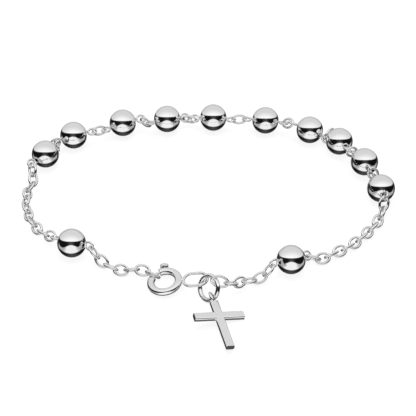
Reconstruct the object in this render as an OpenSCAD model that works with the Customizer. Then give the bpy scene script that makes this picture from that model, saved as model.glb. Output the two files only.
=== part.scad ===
// Rosary bracelet, laid down in a loose oval on a table.
// Ten beads lie along the back, one more stands each side of the clasp in front, and oval
// link chain joins them. A spring ring closes the loop, and a small cross lies on its jump ring.
// The table is z = 0, and x and y are centred on the box of the whole bracelet.

/* [Beads] */
// Diameter of a bead
bead_d = 5; // [4.8:0.1:5]
// Diameter of the hole drilled through a bead
bead_hole_d = 0.8; // [0.7:0.05:1]

/* [Eye pins] */
// Wire of the pin that runs through a bead
pin_wire_d = 0.4; // [0.35:0.05:0.4]
// Outer diameter of the eye at each end of a pin
eye_d = 1.9; // [1.8:0.05:1.9]
// From the middle of the bead to the middle of an eye
eye_reach = 3.5; // [3.5:0.05:3.6]
// How far an eye is bent off the line of its pin
eye_offset = 0.4; // [0.35:0.05:0.4]

/* [Chain links] */
// Outer length of an oval link
link_l = 2.9; // [2.8:0.05:2.9]
// Outer width of an oval link
link_w = 2.15; // [2.1:0.05:2.2]
// Wire of a link
link_wire_d = 0.4; // [0.35:0.05:0.4]

/* [Spring ring] */
// Outer diameter of the clasp's tube ring
clasp_d = 6; // [5.9:0.1:6.1]
// Diameter of the tube that the ring is bent from
clasp_tube_d = 1.25; // [1.2:0.05:1.3]
// Inner diameter of the tube
clasp_bore_d = 0.7; // [0.7:0.05:0.75]
// Wire of the tongue that slides in the tube
tongue_d = 0.5; // [0.45:0.05:0.5]
// How far the tongue is drawn back to open the gate, in degrees round the ring
tongue_travel = 46; // [40:1:46]
// How far the clasp leans on the jump ring, in degrees
clasp_lean = 9; // [8:1:10]

/* [Cross] */
// Length of the upright
cross_l = 10.1; // [9.8:0.1:10.2]
// Span of the arms
cross_span = 8.6; // [8:0.1:8.6]
// Width of the bars
cross_w = 1.45; // [1.3:0.05:1.45]
// Thickness of the bars
cross_t = 0.9; // [0.8:0.05:0.9]
// Rounding of the long edges
cross_round = 0.3; // [0.1:0.05:0.3]

/* [Hidden] */
BEAD_NAMES = [for (i = [1 : 12]) str("bead_", numbered(i))];
PIN_NAMES = [for (i = [1 : 12]) str("eye_pin_", numbered(i))];
LINK_NAMES = [for (i = [1 : 9]) str("decade_link_", numbered(i))];
OTHER_NAMES = ["chain_right", "chain_left", "chain_front_right", "chain_front_left",
    "clasp_ring", "clasp_tongue", "end_link", "jump_ring", "cross"];

// Round surfaces are smooth, so $fn only sets how finely a view of them is drawn
$fn = 32;
eps = 0.01;
// Steps of a route between two of its points, and of a link's centre line
CURVE_STEPS = 12;
LINK_STEPS = 16;
// A link's wire has six sides, and is drawn a little larger, so that its section is as large as
// the round one's
WIRE_SIDES = 6;
WIRE_SWELL = 1.05;
// Play between straight and bent wire under a drop of solder
JOINT_GAP = 0.02;

// The layout below is drawn about the middle of the view, and this centres the bracelet's box
centre_shift = [0, 4.6, 0];

// The loop as it lies, clockwise from above: ten beads of the decade, the one at the front
// right, then the one at the front left.
// Columns: place x and y, compass turn of the pin, rise of its far end, and the roll of its
// near and far eyes, where 0 is an eye that lies flat
X = 0; Y = 1; TURN = 2; RISE = 3; NEAR = 4; FAR = 5;
BEADS = [
    [-29.8, 11.6, 56, 1, -146, 96],
    [-25.0, 16.8, 20, 3, 97, 5],
    [-16.0, 20.3, 23, 4, -8, 26],
    [-7.7, 21.4, 22, -5, -23, 43],
    [1.0, 21.8, -9, 4, 19, -10],
    [10.8, 21.0, -9, -1, -15, -27],
    [19.0, 18.3, -15, -16, -35, 62],
    [24.3, 15.1, -64, 10, 115, -40],
    [28.5, 9.5, -77, 12, -5, -74],
    [30.9, 2.5, -86, 14, -42, -114],
    [14.1, -15.0, 208, 20, -39, 98],
    [-23.4, -11.1, 154, -6, -77, 32],
];
DECADE = 10;
// The links of the decade, one after each bead but the last: roll, and how far the link sags
// below the middle between its two eyes
ROLL = 0; SAG = 1;
DECADE_LINKS = [[93, 0.7], [83, 0.0], [90, 0.3], [100, 0.3], [82, 0.0],
    [47, 0.0], [91, -0.6], [78, 0.2], [50, 0.0]];

FRONT_RIGHT = 10;
FRONT_LEFT = 11;

// Spring ring: compass turns round the ring, from the side where the cross hangs
clasp_at = [-7.3, -18.7, 1.02];
gate_from = 112;
gate_to = 154;
tongue_tail = 45;
tongue_tip = 158;
tongue_end = tongue_tail - tongue_travel - 6;
socket_end = 163;
trigger_at = 92;
trigger_w = 1.4;
trigger_neck = 0.4;
trigger_from = 3.1;
trigger_to = 3.7;
slot_h = 0.6;
slot_play = 3;
clasp_eye_l = 4.6;
clasp_eye_w = 3.3;
clasp_eye_wire = 0.5;
clasp_eye_turn = -3;
clasp_neck_d = 0.7;

// Jump ring
jump_d = 4.85;
jump_wire = 0.7;
jump_at = [0.15, -21.1, 2.09];
jump_turn = 215;
jump_lean = 57;

// The larger link that ends the chain in the jump ring
end_link_l = 3.3;
end_link_w = 2.4;
end_link_wire = 0.45;
end_link_at = [1.95, -21.0, 3.55];
end_link_turn = -4;
end_link_rise = -22;
end_link_roll = 70;

// Cross: middle of the crossing, turn of its upright towards the foot, rise of the foot, roll
cross_at = [1.8, -26.8, 1.42];
cross_turn = -75;
cross_rise = 0;
cross_roll = -13;
cross_upper = 3.2;
cross_eye_d = 2.3;
cross_eye_wire = 0.5;
cross_eye_roll = 35;

function numbered(i) = str(i < 10 ? "0" : "", i);

// Turning a vector by roll about x, then rise about y, then turn about z
function spin_x(v, a) = [v.x, v.y * cos(a) - v.z * sin(a), v.y * sin(a) + v.z * cos(a)];
function spin_y(v, a) = [v.x * cos(a) + v.z * sin(a), v.y, v.z * cos(a) - v.x * sin(a)];
function spin_z(v, a) = [v.x * cos(a) - v.y * sin(a), v.x * sin(a) + v.y * cos(a), v.z];
function aimed(v, turn, rise, roll) = spin_z(spin_y(spin_x(v, roll), -rise), turn);
function unit(v) = v / norm(v);

function bead_at(i) = [BEADS[i][X], BEADS[i][Y], bead_d / 2];
function eye_roll(i, side) = side < 0 ? BEADS[i][NEAR] : BEADS[i][FAR];
function eye_at(i, side) = bead_at(i)
    + aimed(aimed([side * eye_reach, -eye_offset, 0], 0, 0, eye_roll(i, side)), BEADS[i][TURN], BEADS[i][RISE], 0);

// Smooth curve through route points: t runs from 0 to 1 between points i and i + 1
function route_point(P, i) = P[max(0, min(len(P) - 1, i))];
function curve_at(P, i, t) = let (a = route_point(P, i - 1), b = P[i], c = P[i + 1], d = route_point(P, i + 2))
    b + t / 2 * ((c - a) + t * ((2 * a - 5 * b + 4 * c - d) + t * (3 * b - a - 3 * c + d)));
function curve(P) = concat([for (i = [0 : len(P) - 2], k = [0 : CURVE_STEPS - 1]) curve_at(P, i, k / CURVE_STEPS)],
    [P[len(P) - 1]]);
function lengths(C, i = 0, s = 0) = i >= len(C) - 1 ? [s] : concat([s], lengths(C, i + 1, s + norm(C[i + 1] - C[i])));
// Point at distance s along a finely stepped curve C with running lengths S
function step_of(S, s, i = 0) = (i >= len(S) - 2 || S[i + 1] >= s) ? i : step_of(S, s, i + 1);
function along(C, S, s) = let (i = step_of(S, s), t = (s - S[i]) / (S[i + 1] - S[i])) C[i] + t * (C[i + 1] - C[i]);

// Evenly spaced links from the eye at one end of a route to the eye at the other.
// Each is [place, direction], and first_gap and last_gap reach from an eye's middle to a link's
function chain_places(P, count, first_gap, last_gap) = let (
        C = curve(P), S = lengths(C), total = S[len(S) - 1],
        pitch = (total - first_gap - last_gap) / (count - 1), reach = link_l / 3)
    [for (j = [0 : count - 1]) let (s = first_gap + j * pitch)
        [along(C, S, s), unit(along(C, S, s + reach) - along(C, S, s - reach))]];

// An arc of round wire in the xy plane
module wire_arc(radius, from, sweep, wire) {
    rotate([0, 0, from])
        rotate_extrude(angle = sweep)
            translate([radius, 0])
                circle(d = wire);
}

module wire_ring(outer_d, wire) {
    rotate_extrude()
        translate([(outer_d - wire) / 2, 0])
            circle(d = wire);
}

// Centre line of an oval link, long axis x: two tight end arcs and two wide side arcs that meet
// smoothly, as points with the outward direction at each
function oval_points(length, width, wire) = let (
        a = (length - wire) / 2, b = (width - wire) / 2, end_r = 0.8 * b,
        side_r = (pow(a - end_r, 2) + b * b - end_r * end_r) / (2 * (b - end_r)),
        half_side = atan2(a - end_r, side_r - b), half_end = 90 - half_side, quarter = LINK_STEPS / 4)
    [for (i = [0 : LINK_STEPS - 1]) let (
            side = floor(i / quarter), k = (i % quarter) / quarter * 2 - 1, tight = side % 2 == 0,
            turn = side * 90 + k * (tight ? half_end : half_side), r = tight ? end_r : side_r,
            middle = tight ? [(a - end_r) * cos(side * 90), 0] : [0, (b - side_r) * sin(side * 90)])
        [middle.x + r * cos(turn), middle.y + r * sin(turn), turn]];

// A closed loop of wire, faceted, drawn flat about the origin
module wire_oval(length, width, wire) {
    path = oval_points(length, width, wire);
    n = LINK_STEPS;
    m = WIRE_SIDES;
    r = wire / 2 * WIRE_SWELL;
    points = [for (p = path, j = [0 : m - 1]) let (out = r * cos(360 * j / m))
        [p.x + out * cos(p.z), p.y + out * sin(p.z), r * sin(360 * j / m)]];
    faces = [for (i = [0 : n - 1], j = [0 : m - 1]) let (i2 = (i + 1) % n, j2 = (j + 1) % m)
        [i * m + j, i * m + j2, i2 * m + j2, i2 * m + j]];
    polyhedron(points = points, faces = faces);
}

// A closed loop of smooth wire with straight sides, long axis x. A drop of solder covers each joint
module wire_stadium(length, width, wire) {
    r = (width - wire) / 2;
    half = (length - width) / 2;
    for (end = [0, 180])
        rotate([0, 0, end]) {
            translate([half, 0])
                wire_arc(r, -90, 180, wire);
            translate([0, r, 0])
                rotate([0, 90, 0])
                    cylinder(d = wire, h = 2 * (half - JOINT_GAP), center = true);
            for (side = [-1, 1])
                translate([half, side * r, 0])
                    sphere(d = wire + JOINT_GAP);
        }
}

// Moves a flat piece drawn about the origin so that its x runs along dir, and rolls it about
// dir, where roll 0 lies as level as dir allows
module rolled(place, dir, roll) {
    translate(place)
        rotate([roll, -asin(dir.z), atan2(dir.y, dir.x)])
            children();
}

module chain_link() {
    wire_oval(link_l, link_w, link_wire_d);
}

module bead(i) {
    color("silver")
        translate(centre_shift + bead_at(i))
            rotate([0, 90 - BEADS[i][RISE], BEADS[i][TURN]])
                rotate_extrude()
                    difference() {
                        circle(d = bead_d);
                        translate([-bead_d, -bead_d])
                            square([bead_d + bead_hole_d / 2, 2 * bead_d]);
                    }
}

module eye_pin(i) {
    eye_r = (eye_d - pin_wire_d) / 2;
    shaft = 2 * (eye_reach - sqrt(eye_r * eye_r - eye_offset * eye_offset));
    color("gainsboro")
        translate(centre_shift + bead_at(i))
            rotate([0, -BEADS[i][RISE], BEADS[i][TURN]]) {
                rotate([0, 90, 0])
                    cylinder(d = pin_wire_d, h = shaft, center = true);
                for (side = [-1, 1])
                    rotate([eye_roll(i, side), 0, 0])
                        translate([side * eye_reach, -eye_offset, 0])
                            wire_ring(eye_d, pin_wire_d);
            }
}

// One link of the decade hangs between the eyes of two neighbouring beads
module decade_link(i) {
    from = eye_at(i, 1);
    to = eye_at(i + 1, -1);
    color("gainsboro")
        translate(centre_shift)
            rolled((from + to) / 2 - [0, 0, DECADE_LINKS[i][SAG]], unit(to - from), DECADE_LINKS[i][ROLL])
                chain_link();
}

// A chain of loose links along a route, each turned a quarter from the one before, and a little
// more where twist is given
module chain(P, count, first_gap, last_gap, first_roll, twist = 0) {
    places = chain_places(P, count, first_gap, last_gap);
    color("gainsboro")
        translate(centre_shift)
            for (j = [0 : count - 1])
                rolled(places[j][0], places[j][1], first_roll + j * (90 + twist))
                    chain_link();
}

RIGHT_ROUTE = [eye_at(9, 1), [30.6, -3.0, 1.6], [29.3, -5.2, 1.0], [27.2, -7.8, 1.0], [24.6, -10.3, 1.0],
    [21.4, -12.3, 1.0], [19.2, -13.3, 0.9], eye_at(FRONT_RIGHT, -1)];
LEFT_ROUTE = [eye_at(FRONT_LEFT, 1), [-29.2, -6.8, 0.9], [-31.3, -3.6, 0.9], [-32.4, 0, 0.9],
    [-32.4, 3.2, 0.9], [-31.7, 6.0, 1.0], eye_at(0, -1)];
FRONT_RIGHT_ROUTE = [eye_at(FRONT_RIGHT, 1), [9.3, -18.0, 1.7], [7.8, -18.6, 1.4], [6.1, -19.3, 1.7],
    [4.4, -20.4, 2.5], [3.4, -21.1, 3.2]];
FRONT_LEFT_ROUTE = [[-9.0, -17.2, 0.9], [-11.6, -16.3, 1.4], [-15.0, -15.8, 0.8], [-17.8, -14.5, 1.2],
    eye_at(FRONT_LEFT, -1)];

module chain_right() {
    chain(RIGHT_ROUTE, 12, 1.36, 1.15, 146);
}

module chain_left() {
    chain(LEFT_ROUTE, 11, 1.4, 1.18, 142, -1);
}

module chain_front_right() {
    chain(FRONT_RIGHT_ROUTE, 5, 1.46, 0.64, 24);
}

module chain_front_left() {
    chain(FRONT_LEFT_ROUTE, 7, 0.4, 1.42, 61, -4);
}

clasp_r = (clasp_d - clasp_tube_d) / 2;

// A slice of the flat ring between two radii and two turns
module sector(r1, r2, from, to, h) {
    rotate([0, 0, from])
        rotate_extrude(angle = to - from)
            translate([r1, -h / 2])
                square([r2 - r1, h]);
}

module at_clasp() {
    translate(centre_shift + clasp_at)
        rotate([0, -clasp_lean, 0])
            children();
}

module clasp_ring() {
    half_slot = asin(trigger_neck / 2 / (clasp_d / 2)) + slot_play;
    eye_middle = clasp_d / 2 + clasp_eye_l / 2 - 0.05;
    color("silver")
        at_clasp() {
            difference() {
                wire_arc(clasp_r, gate_to, 360 - gate_to + gate_from, clasp_tube_d);
                wire_arc(clasp_r, tongue_end, gate_from + eps - tongue_end, clasp_bore_d);
                wire_arc(clasp_r, gate_to - eps, socket_end - gate_to, clasp_bore_d);
                sector(clasp_r, clasp_d, trigger_at - tongue_travel - half_slot, trigger_at + half_slot, slot_h);
            }
            rotate([0, 0, clasp_eye_turn]) {
                translate([eye_middle, 0, 0])
                    wire_stadium(clasp_eye_l, clasp_eye_w, clasp_eye_wire);
                translate([clasp_d / 2 - 0.2, 0, 0])
                    rotate([0, 90, 0])
                        cylinder(d = clasp_neck_d, h = 0.4);
            }
        }
}

module clasp_tongue() {
    color("gainsboro")
        at_clasp() {
            wire_arc(clasp_r, tongue_tail, tongue_tip - tongue_tail, tongue_d);
            rotate([0, 0, trigger_at]) {
                translate([clasp_r, 0, 0])
                    rotate([0, 90, 0])
                        cylinder(d = trigger_neck, h = trigger_from - clasp_r + 0.1);
                translate([trigger_from, 0, 0])
                    rotate([0, 90, 0])
                        cylinder(d = trigger_w, h = trigger_to - trigger_from);
            }
        }
}

module end_link() {
    color("gainsboro")
        translate(centre_shift + end_link_at)
            rotate([end_link_roll, -end_link_rise, end_link_turn])
                wire_oval(end_link_l, end_link_w, end_link_wire);
}

module jump_ring() {
    color("silver")
        translate(centre_shift + jump_at)
            rotate([0, jump_lean, jump_turn])
                wire_ring(jump_d, jump_wire);
}

// A bar with rounded long edges, along x
module bar(length) {
    rotate([90, 0, 90])
        translate([0, 0, -length / 2])
            linear_extrude(length)
                union() {
                    square([cross_w - 2 * cross_round, cross_t], center = true);
                    square([cross_w, cross_t - 2 * cross_round], center = true);
                    for (x = [-1, 1], y = [-1, 1])
                        translate([x * (cross_w / 2 - cross_round), y * (cross_t / 2 - cross_round)])
                            circle(r = cross_round);
                }
}

module cross_pendant() {
    color("silver")
        translate(centre_shift + cross_at)
            rotate([cross_roll, -cross_rise, cross_turn]) {
                translate([cross_l / 2 - cross_upper, 0, 0])
                    bar(cross_l);
                rotate([0, 0, 90])
                    bar(cross_span);
                translate([-cross_upper - cross_eye_d / 2 + 0.2, 0, 0])
                    rotate([cross_eye_roll - 90, 0, 0])
                        wire_ring(cross_eye_d, cross_eye_wire);
            }
}

for (i = [0 : len(BEADS) - 1]) {
    bead(i);
    eye_pin(i);
}
for (i = [0 : DECADE - 2])
    decade_link(i);
chain_right();
chain_left();
chain_front_right();
chain_front_left();
clasp_ring();
clasp_tongue();
end_link();
jump_ring();
cross_pendant();  // cross
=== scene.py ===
"""Rosary bracelet lying on a white table: polished beads, oval link chain, spring ring and cross."""
import math

import bmesh
import bpy
import numpy as np
from mathutils import Matrix, Vector


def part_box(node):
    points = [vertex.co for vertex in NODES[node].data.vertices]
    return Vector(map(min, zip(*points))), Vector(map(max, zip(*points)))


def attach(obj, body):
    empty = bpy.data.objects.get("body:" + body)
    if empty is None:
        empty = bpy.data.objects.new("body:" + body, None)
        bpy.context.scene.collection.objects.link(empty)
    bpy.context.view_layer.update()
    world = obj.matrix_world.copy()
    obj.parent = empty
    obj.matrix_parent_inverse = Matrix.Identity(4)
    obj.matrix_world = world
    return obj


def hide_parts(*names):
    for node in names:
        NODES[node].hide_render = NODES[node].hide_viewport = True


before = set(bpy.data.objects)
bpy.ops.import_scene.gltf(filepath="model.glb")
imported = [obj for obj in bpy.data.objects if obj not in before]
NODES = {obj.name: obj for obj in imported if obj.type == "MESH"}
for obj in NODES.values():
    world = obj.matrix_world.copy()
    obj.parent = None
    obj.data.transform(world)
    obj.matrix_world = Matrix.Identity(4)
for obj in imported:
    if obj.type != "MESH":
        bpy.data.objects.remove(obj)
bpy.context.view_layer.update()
MM = 0.001

# Beads of the bracelet, and single links between the ten beads at the back
BEAD_COUNT = 12
DECADE_LINK_COUNT = 9

# Sizes in millimetres, as in the CAD source
BEAD_R = 2.5
HOLE_R = 0.4
LINK_L, LINK_W = 2.9, 2.15
END_L, END_W = 3.3, 2.4
JUMP_D = 4.85

# Wire as it is drawn here: a little heavier than the CAD's, within the same outer size
LINK_WIRE = 0.46
END_WIRE = 0.48
JUMP_WIRE = 0.74

# The bead's rolled lip and the line where its two stamped halves meet
LIP_R = 0.07
LIP_SINK = 0.01
BORE_DEPTH = 0.8
SEAM_HALF_WIDTH = 0.03
SEAM_DEPTH = 0.006
SEAM_EDGE_DEPTH = 0.0005

# Radius of a link's end arcs, as a share of half the width of its centre line
END_ARC = 0.8

# A link's solder seam: by what share the wire is thicker there, and how far that reaches
SOLDER_SWELL = 0.05
SOLDER_LENGTH = 0.16

# The jump ring's cut: half its angle in radians, by what share the wire is thinner there, and
# over how many steps that fades
CUT_HALF_ANGLE = 0.012
CUT_THINNING = 0.045
CUT_FADE = 0.7

# How finely the round pieces are drawn
BEAD_SIDES, BEAD_STEPS, LIP_STEPS = 96, 40, 5
LINK_SIDES, LINK_STEPS, ARC_STEPS = 14, 72, 4
JUMP_SIDES, JUMP_STEPS = 24, 120

# Edges sharper than this stay sharp on the CAD pieces, in degrees
SHARP_EDGE = 35
PIN_SHARP_EDGE = 60

# Decimals, in millimetres, to which two corners of a CAD mesh are one point
WELD_DIGITS = 4


# Reading the CAD meshes


def points_of(obj):
    """Vertices of a mesh object in millimetres, as an array."""
    flat = np.empty(len(obj.data.vertices) * 3)
    obj.data.vertices.foreach_get("co", flat)
    return flat.reshape(-1, 3) / MM


def triangles_of(obj):
    """Vertex numbers of the mesh's triangles."""
    mesh = obj.data
    mesh.calc_loop_triangles()
    flat = np.empty(len(mesh.loop_triangles) * 3, int)
    mesh.loop_triangles.foreach_get("vertices", flat)
    return flat.reshape(-1, 3)


def islands(obj):
    """The loose solids of a node, each as its triangles' corners (n, 3, 3), largest x first."""
    points = points_of(obj)
    _, same = np.unique(np.round(points, WELD_DIGITS), axis=0, return_inverse=True)
    same = same.reshape(-1)
    faces = same[triangles_of(obj)]
    welded = np.zeros((same.max() + 1, 3))
    welded[same] = points
    label = np.arange(len(welded))
    while True:
        lowest = label[faces].min(axis=1)
        new = label.copy()
        for corner in range(3):
            np.minimum.at(new, faces[:, corner], lowest)
        new = new[new]
        if (new == label).all():
            break
        label = new
    owner = label[faces[:, 0]]
    groups = [welded[faces[owner == solid]] for solid in np.unique(owner)]
    return sorted(groups, key=lambda group: -group[:, :, 0].mean())


def principal_axes(corners):
    """(middle, axes as columns from longest to shortest) of a surface's area."""
    edge_a = corners[:, 1] - corners[:, 0]
    edge_b = corners[:, 2] - corners[:, 0]
    area = np.linalg.norm(np.cross(edge_a, edge_b), axis=1)
    samples = (corners + corners[:, [1, 2, 0]]) / 2
    middle = (samples.mean(axis=1) * area[:, None]).sum(axis=0) / area.sum()
    away = samples - middle
    spread = np.einsum("nki,nkj,n->ij", away, away, area)
    _, vectors = np.linalg.eigh(spread)
    axes = vectors[:, ::-1].copy()
    if np.linalg.det(axes) < 0:
        axes[:, 2] *= -1
    return middle, axes


# Building meshes


def placed(axes, middle):
    """Matrix that takes a piece drawn in millimetres about the origin to its place in metres."""
    rows = [list(axes[r] * MM) + [middle[r] * MM] for r in range(3)]
    return Matrix(rows + [[0, 0, 0, 1]])


def new_object(name, bm, finish):
    """The finished mesh as a smooth object of the bracelet."""
    mesh = bpy.data.meshes.new(name)
    bmesh.ops.recalc_face_normals(bm, faces=bm.faces)
    bm.to_mesh(mesh)
    bm.free()
    for polygon in mesh.polygons:
        polygon.use_smooth = True
    obj = bpy.data.objects.new(name, mesh)
    bpy.context.scene.collection.objects.link(obj)
    mesh.materials.append(finish)
    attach(obj, "root")
    return obj


def grid_faces(bm, rings, closed=False):
    """Quads between neighbouring rings of vertices, and from the last to the first where closed."""
    count = len(rings[0])
    last = len(rings) if closed else len(rings) - 1
    for k in range(last):
        ring, after = rings[k], rings[(k + 1) % len(rings)]
        for j in range(count):
            j2 = (j + 1) % count
            bm.faces.new((ring[j], ring[j2], after[j2], after[j]))


def tube(bm, path, radii, sides, matrix, closed=True):
    """A tube of varying radius round a path that lies in the xy plane, capped where it is open."""
    up = np.array([0, 0, 1.0])
    last = len(path) - 1
    rings = []
    for k, point in enumerate(path):
        before = path[k - 1] if closed or k > 0 else point
        after = path[(k + 1) % len(path)] if closed or k < last else point
        along = np.array(after) - np.array(before)
        along /= np.linalg.norm(along)
        side = np.array([along[1], -along[0], 0.0])
        ring = []
        for j in range(sides):
            turn = 2 * math.pi * j / sides
            offset = (side * math.cos(turn) + up * math.sin(turn)) * radii[k]
            ring.append(bm.verts.new(matrix @ Vector(np.array(point) + offset)))
        rings.append(ring)
    grid_faces(bm, rings, closed)
    if not closed:
        bm.faces.new(rings[0])
        bm.faces.new(rings[-1][::-1])


# Silver: scales are per metre, and depths in metres

CLOUD_SCALE, CLOUD_DETAIL = 420.0, 3.0
TARNISH_FROM, TARNISH_TO = 0.32, 0.62
GLOSS_LOW, GLOSS_HIGH = 0.7, 1.4
SCRATCH_SCALE, SCRATCH_DETAIL = 9000.0, 2.0
SCRATCH_STRETCH = (1.0, 0.12, 0.5)
SCRATCH_DEPTH = 0.00001


def noise(tree, vector, scale, detail):
    node = tree.nodes.new("ShaderNodeTexNoise")
    node.inputs["Scale"].default_value = scale
    node.inputs["Detail"].default_value = detail
    tree.links.new(vector, node.inputs["Vector"])
    return node.outputs["Fac"]


def tarnished(tree, cloud, colour, tarnish):
    """The colour, a trace darker where the cloud is low."""
    ramp = tree.nodes.new("ShaderNodeValToRGB")
    dark, clean = ramp.color_ramp.elements
    dark.position = TARNISH_FROM
    dark.color = [part * (1 - tarnish) for part in colour] + [1]
    clean.position = TARNISH_TO
    clean.color = list(colour) + [1]
    tree.links.new(cloud, ramp.inputs["Fac"])
    return ramp.outputs["Color"]


def uneven_gloss(tree, cloud, roughness):
    """A roughness that varies softly about its middle value."""
    spread = tree.nodes.new("ShaderNodeMapRange")
    spread.inputs["To Min"].default_value = roughness * GLOSS_LOW
    spread.inputs["To Max"].default_value = roughness * GLOSS_HIGH
    tree.links.new(cloud, spread.inputs["Value"])
    return spread.outputs["Result"]


def scratched(tree, coords, grain):
    """A normal with fine scratches."""
    stretch = tree.nodes.new("ShaderNodeMapping")
    stretch.inputs["Scale"].default_value = SCRATCH_STRETCH
    tree.links.new(coords, stretch.inputs["Vector"])
    bump = tree.nodes.new("ShaderNodeBump")
    bump.inputs["Strength"].default_value = grain
    bump.inputs["Distance"].default_value = SCRATCH_DEPTH
    fine = noise(tree, stretch.outputs["Vector"], SCRATCH_SCALE, SCRATCH_DETAIL)
    tree.links.new(fine, bump.inputs["Height"])
    return bump.outputs["Normal"]


def silver(name, colour, roughness, grain, tarnish):
    """Polished silver with fine scratches and a trace of tarnish in soft clouds."""
    finish = bpy.data.materials.new(name)
    finish.use_nodes = True
    tree = finish.node_tree
    tree.nodes.clear()
    out = tree.nodes.new("ShaderNodeOutputMaterial")
    bsdf = tree.nodes.new("ShaderNodeBsdfPrincipled")
    tree.links.new(bsdf.outputs["BSDF"], out.inputs["Surface"])
    bsdf.inputs["Metallic"].default_value = 1.0
    coords = tree.nodes.new("ShaderNodeTexCoord").outputs["Object"]
    cloud = noise(tree, coords, CLOUD_SCALE, CLOUD_DETAIL)
    tree.links.new(tarnished(tree, cloud, colour, tarnish), bsdf.inputs["Base Color"])
    tree.links.new(uneven_gloss(tree, cloud, roughness), bsdf.inputs["Roughness"])
    tree.links.new(scratched(tree, coords, grain), bsdf.inputs["Normal"])
    return finish


BEAD_SILVER = silver("bead_silver", (0.93, 0.93, 0.935), roughness=0.07, grain=0.05, tarnish=0.03)
WIRE_SILVER = silver("wire_silver", (0.97, 0.97, 0.972), roughness=0.17, grain=0.12, tarnish=0.04)
CLASP_SILVER = silver("clasp_silver", (0.95, 0.95, 0.955), roughness=0.11, grain=0.10, tarnish=0.05)
CROSS_SILVER = silver("cross_silver", (0.96, 0.96, 0.965), roughness=0.12, grain=0.16, tarnish=0.03)


# Beads: a ball turned about its drilled axis, with a rolled lip at each hole


def bead_profile():
    """(distance along the axis, radius) of half the bead, from its equator into the bore."""
    start = math.sqrt(BEAD_R ** 2 - (HOLE_R + LIP_R) ** 2)
    lip_turn = math.acos(start / BEAD_R)
    rows = []
    for k in range(BEAD_STEPS + 1):
        turn = math.pi / 2 + (lip_turn - math.pi / 2) * k / BEAD_STEPS
        rows.append((BEAD_R * math.cos(turn), BEAD_R * math.sin(turn)))
    rows[0] = (0.0, BEAD_R - SEAM_DEPTH)
    rows.insert(1, (SEAM_HALF_WIDTH, BEAD_R - SEAM_EDGE_DEPTH))
    for k in range(1, LIP_STEPS + 1):
        turn = math.pi / 2 * k / LIP_STEPS
        along = start - LIP_R * (1 - math.cos(turn)) - LIP_SINK * k / LIP_STEPS
        rows.append((along, HOLE_R + LIP_R * (1 - math.sin(turn))))
    rows.append((start - BORE_DEPTH, HOLE_R))
    return rows


def build_bead(number):
    name = f"bead_{number:02d}"
    low, high = (np.array(corner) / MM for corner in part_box(name))
    # The longest axis of the bead's pin is the axis that the bead is drilled along
    _, axes = principal_axes(islands(NODES[f"eye_pin_{number:02d}"])[0])
    matrix = placed(axes, (low + high) / 2)
    half = bead_profile()
    turns = [2 * math.pi * j / BEAD_SIDES for j in range(BEAD_SIDES)]
    bm = bmesh.new()
    rings = []
    for x, r in [(-x, r) for x, r in reversed(half)] + half[1:]:
        corners = [Vector((x, r * math.cos(turn), r * math.sin(turn))) for turn in turns]
        rings.append([bm.verts.new(matrix @ corner) for corner in corners])
    grid_faces(bm, rings)
    piece = new_object(f"polished_bead_{number:02d}", bm, BEAD_SILVER)
    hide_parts(name)


# Chains: each loose link of a node is redrawn as smooth wire with its soldered seam


def oval_path(length, width, wire):
    """Centre line of an oval link: two tight end arcs and two wide side arcs."""
    a = (length - wire) / 2
    b = (width - wire) / 2
    end_r = END_ARC * b
    side_r = ((a - end_r) ** 2 + b * b - end_r * end_r) / (2 * (b - end_r))
    half_side = math.atan2(a - end_r, side_r - b)
    half_end = math.pi / 2 - half_side
    quarter = end_r * half_end + side_r * half_side
    arcs = [
        (a - end_r, 0, end_r, 0, half_end),
        (0, b - side_r, side_r, math.pi / 2, half_side),
        (end_r - a, 0, end_r, math.pi, half_end),
        (0, side_r - b, side_r, 1.5 * math.pi, half_side),
    ]
    path = []
    for x, y, r, middle, half in arcs:
        count = max(ARC_STEPS, round(LINK_STEPS * r * half / quarter / 2))
        for k in range(count):
            turn = middle + half * (2 * k / count - 1)
            path.append((x + r * math.cos(turn), y + r * math.sin(turn), 0.0))
    return path


def soldered(path, wire, seam):
    """Wire radius along a link: a little thicker where its ends are soldered."""
    spot = np.array(path[seam])
    radii = []
    for point in path:
        away = np.linalg.norm(np.array(point) - spot)
        radii.append(wire / 2 * (1 + SOLDER_SWELL * math.exp(-(away / SOLDER_LENGTH) ** 2)))
    return radii


def build_links(node, name, length=LINK_L, width=LINK_W, wire=LINK_WIRE):
    """One object with every loose link of a node, soldered at one side and then the other."""
    bm = bmesh.new()
    path = oval_path(length, width, wire)
    for k, corners in enumerate(islands(NODES[node])):
        middle, axes = principal_axes(corners)
        seam = len(path) // 4 if k % 2 else 3 * len(path) // 4
        tube(bm, path, soldered(path, wire, seam), LINK_SIDES, placed(axes, middle))
    piece = new_object(name, bm, WIRE_SILVER)
    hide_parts(node)


# Jump ring: a ring of round wire with the cut where it was closed


def build_jump_ring():
    middle, axes = principal_axes(islands(NODES["jump_ring"])[0])
    normal = axes[:, 2]
    # The cut lies at the side of the ring that is lowest
    down = np.array([0, 0, -1.0])
    down -= normal * (down @ normal)
    down /= np.linalg.norm(down)
    ring_axes = np.column_stack([down, np.cross(normal, down), normal])
    radius = (JUMP_D - JUMP_WIRE) / 2
    path, radii = [], []
    for k in range(JUMP_STEPS + 1):
        turn = CUT_HALF_ANGLE + (2 * math.pi - 2 * CUT_HALF_ANGLE) * k / JUMP_STEPS
        path.append((radius * math.cos(turn), radius * math.sin(turn), 0.0))
        from_cut = min(k, JUMP_STEPS - k)
        radii.append(JUMP_WIRE / 2 * (1 - CUT_THINNING * math.exp(-from_cut / CUT_FADE)))
    bm = bmesh.new()
    tube(bm, path, radii, JUMP_SIDES, placed(ring_axes, middle), closed=False)
    piece = new_object("cut_jump_ring", bm, CLASP_SILVER)
    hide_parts("jump_ring")


# CAD nodes that already have their real shape keep it and get the silver


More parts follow.
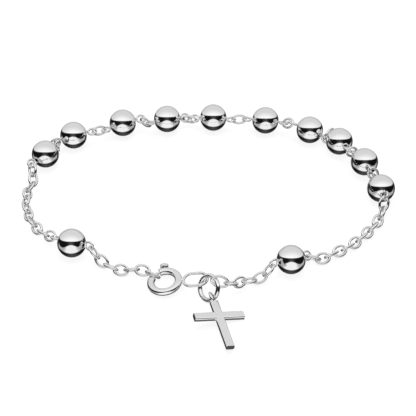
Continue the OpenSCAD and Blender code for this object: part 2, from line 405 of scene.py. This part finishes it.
def shade(node, finish, sharp_edge=SHARP_EDGE):
    obj = NODES[node]
    obj.data.materials.clear()
    obj.data.materials.append(finish)
    for polygon in obj.data.polygons:
        polygon.use_smooth = True
    split = obj.modifiers.new("split", "EDGE_SPLIT")
    split.split_angle = math.radians(sharp_edge)


# The whole bracelet

for number in range(1, BEAD_COUNT + 1):
    build_bead(number)
for chain in ("chain_right", "chain_left", "chain_front_right", "chain_front_left"):
    build_links(chain, f"{chain}_links")
for number in range(1, DECADE_LINK_COUNT + 1):
    build_links(f"decade_link_{number:02d}", f"oval_link_{number:02d}")
build_links("end_link", "oval_end_link", END_L, END_W, END_WIRE)
build_jump_ring()
for number in range(1, BEAD_COUNT + 1):
    shade(f"eye_pin_{number:02d}", WIRE_SILVER, PIN_SHARP_EDGE)
shade("clasp_ring", CLASP_SILVER)
shade("clasp_tongue", CLASP_SILVER)
shade("cross", CROSS_SILVER)


# Table


def build_floor():
    half = 1.2
    corners = [(-half, -half), (half, -half), (half, half), (-half, half)]
    bm = bmesh.new()
    bm.faces.new([bm.verts.new((x, y, 0)) for x, y in corners])
    mesh = bpy.data.meshes.new("table")
    bm.to_mesh(mesh)
    bm.free()
    floor = bpy.data.objects.new("table", mesh)
    bpy.context.scene.collection.objects.link(floor)
    white = bpy.data.materials.new("table_white")
    white.use_nodes = True
    bsdf = white.node_tree.nodes["Principled BSDF"]
    bsdf.inputs["Base Color"].default_value = (0.18, 0.18, 0.18, 1)
    bsdf.inputs["Roughness"].default_value = 0.9
    bsdf.inputs["Specular IOR Level"].default_value = 0.1
    bsdf.inputs["Emission Color"].default_value = (1, 1, 1, 1)
    bsdf.inputs["Emission Strength"].default_value = 0.86
    # The silver mirrors the studio's own table, below
    floor.visible_glossy = False
    mesh.materials.append(white)


# Studio: what the silver mirrors, as brightness by direction

# A direction has three parts from -1 to 1: across, depth and height.
# Each pair of numbers says where a soft edge begins and ends.
TENT_WHITE, TENT_BACK_GREY, TENT_LOW_GREY = 1.08, 0.36, 0.14
TENT_LEAN = 0.85
TENT_EDGE = (0.30, 0.40)
TENT_BACK = (-0.6, 0.6)
TENT_FAR_BACK = (0.5, 0.9)
TENT_LOW = (0.0, 0.35)

TABLE_WHITE, TABLE_SIDE_GREY, TABLE_FAR_GREY, TABLE_FAR_SIDE_GREY = 0.95, 0.50, 0.35, 0.56
TABLE_BEND, SHADOW_BEND = 0.9, 0.2
TABLE_EDGE = (0.41, 0.53)
SHADOW_EDGE = (-0.80, -0.66)
TABLE_SIDE = (0.5, 0.8)
TABLE_FAR = (0.0, 0.4)
TABLE_FAR_SIDE = (0.25, 0.55)

ROOM_DARK, ROOM_GLOW = 0.006, 0.055
ROOM_MIDDLE = (0.0, 0.6)


class Signal:
    """A number in a node tree, worked with like a plain number."""

    def __init__(self, tree, socket):
        self.tree = tree
        self.socket = socket

    def worked(self, kind, *values):
        """The result of a math node that takes plain numbers and signals."""
        node = self.tree.nodes.new("ShaderNodeMath")
        node.operation = kind
        for k, value in enumerate(values):
            if isinstance(value, Signal):
                self.tree.links.new(value.socket, node.inputs[k])
            else:
                node.inputs[k].default_value = value
        return Signal(self.tree, node.outputs[0])

    def __add__(self, other):
        return self.worked("ADD", self, other)

    def __sub__(self, other):
        return self.worked("SUBTRACT", self, other)

    def __rsub__(self, other):
        return self.worked("SUBTRACT", other, self)

    def __mul__(self, other):
        return self.worked("MULTIPLY", self, other)

    def without_sign(self):
        return self.worked("ABSOLUTE", self)

    def or_larger(self, other):
        return self.worked("MAXIMUM", self, other)

    def rise(self, low, high):
        """0 up to low and 1 from high on, with a smooth rise between them."""
        node = self.tree.nodes.new("ShaderNodeMapRange")
        node.interpolation_type = "SMOOTHSTEP"
        node.inputs["From Min"].default_value = low
        node.inputs["From Max"].default_value = high
        self.tree.links.new(self.socket, node.inputs["Value"])
        return Signal(self.tree, node.outputs["Result"])


def tent_light(depth, height):
    """A large tent above and behind: white overhead, light grey lower down at the back."""
    tent = (height + depth * TENT_LEAN).rise(*TENT_EDGE)
    back_grey = depth.rise(*TENT_BACK) * TENT_BACK_GREY
    low_grey = depth.rise(*TENT_FAR_BACK) * (1.0 - height.rise(*TENT_LOW)) * TENT_LOW_GREY
    return tent * (TENT_WHITE - (back_grey + low_grey))


def table_light(across, depth, height):
    """A white table in front, dark right below, and grey at its sides and its far end."""
    aside = across.without_sign()
    bend = across * across * TABLE_BEND
    table = 1.0 - (height + bend).rise(*TABLE_EDGE)
    unshaded = (height - bend * SHADOW_BEND).rise(*SHADOW_EDGE)
    side_grey = aside.rise(*TABLE_SIDE) * TABLE_SIDE_GREY
    far_side = aside.rise(*TABLE_FAR_SIDE) * TABLE_FAR_SIDE_GREY
    far_grey = depth.rise(*TABLE_FAR) * (far_side + TABLE_FAR_GREY)
    return table * unshaded * (TABLE_WHITE - side_grey.or_larger(far_grey))


def room_light(across):
    """The dark room at the camera's side, a little lighter in the middle."""
    return (1.0 - across.without_sign().rise(*ROOM_MIDDLE)) * ROOM_GLOW + ROOM_DARK


def build_world():
    world = bpy.data.worlds.new("studio")
    bpy.context.scene.world = world
    world.use_nodes = True
    tree = world.node_tree
    tree.nodes.clear()
    out = tree.nodes.new("ShaderNodeOutputWorld")
    back = tree.nodes.new("ShaderNodeBackground")
    tree.links.new(back.outputs["Background"], out.inputs["Surface"])
    coords = tree.nodes.new("ShaderNodeTexCoord")
    split = tree.nodes.new("ShaderNodeSeparateXYZ")
    tree.links.new(coords.outputs["Generated"], split.inputs["Vector"])
    across, depth, height = (Signal(tree, split.outputs[axis]) for axis in "XYZ")
    light = tent_light(depth, height).or_larger(table_light(across, depth, height))
    tree.links.new(light.or_larger(room_light(across)).socket, back.inputs["Strength"])
    back.inputs["Color"].default_value = (1, 1, 1, 1)


# Lamp and camera: places in metres, lens and sensor in millimetres


def build_lamp():
    lamp = bpy.data.lights.new("softbox", "AREA")
    lamp.shape = "RECTANGLE"
    lamp.size = 0.5
    lamp.size_y = 0.4
    lamp.energy = 2.4
    obj = bpy.data.objects.new("softbox", lamp)
    obj.location = (0.02, 0.10, 0.62)
    obj.rotation_euler = (math.radians(-9), 0, 0)
    obj.visible_glossy = False
    bpy.context.scene.collection.objects.link(obj)


def build_camera():
    """The photograph's view: down from the front, along +Y, through a long lens."""
    elevation = math.radians(44.5)
    distance = 0.24816
    aim = Vector((0, 0.0046, 0))
    data = bpy.data.cameras.new("camera")
    data.lens = 120.23
    data.sensor_width = 36
    data.clip_start = 0.01
    data.clip_end = 20
    camera = bpy.data.objects.new("camera", data)
    camera.location = aim + Vector((0, -math.cos(elevation), math.sin(elevation))) * distance
    camera.rotation_euler = (math.pi / 2 - elevation, 0, 0)
    bpy.context.scene.collection.objects.link(camera)
    bpy.context.scene.camera = camera


build_floor()
build_world()
build_lamp()
build_camera()
bpy.context.scene.view_settings.view_transform = "Standard"
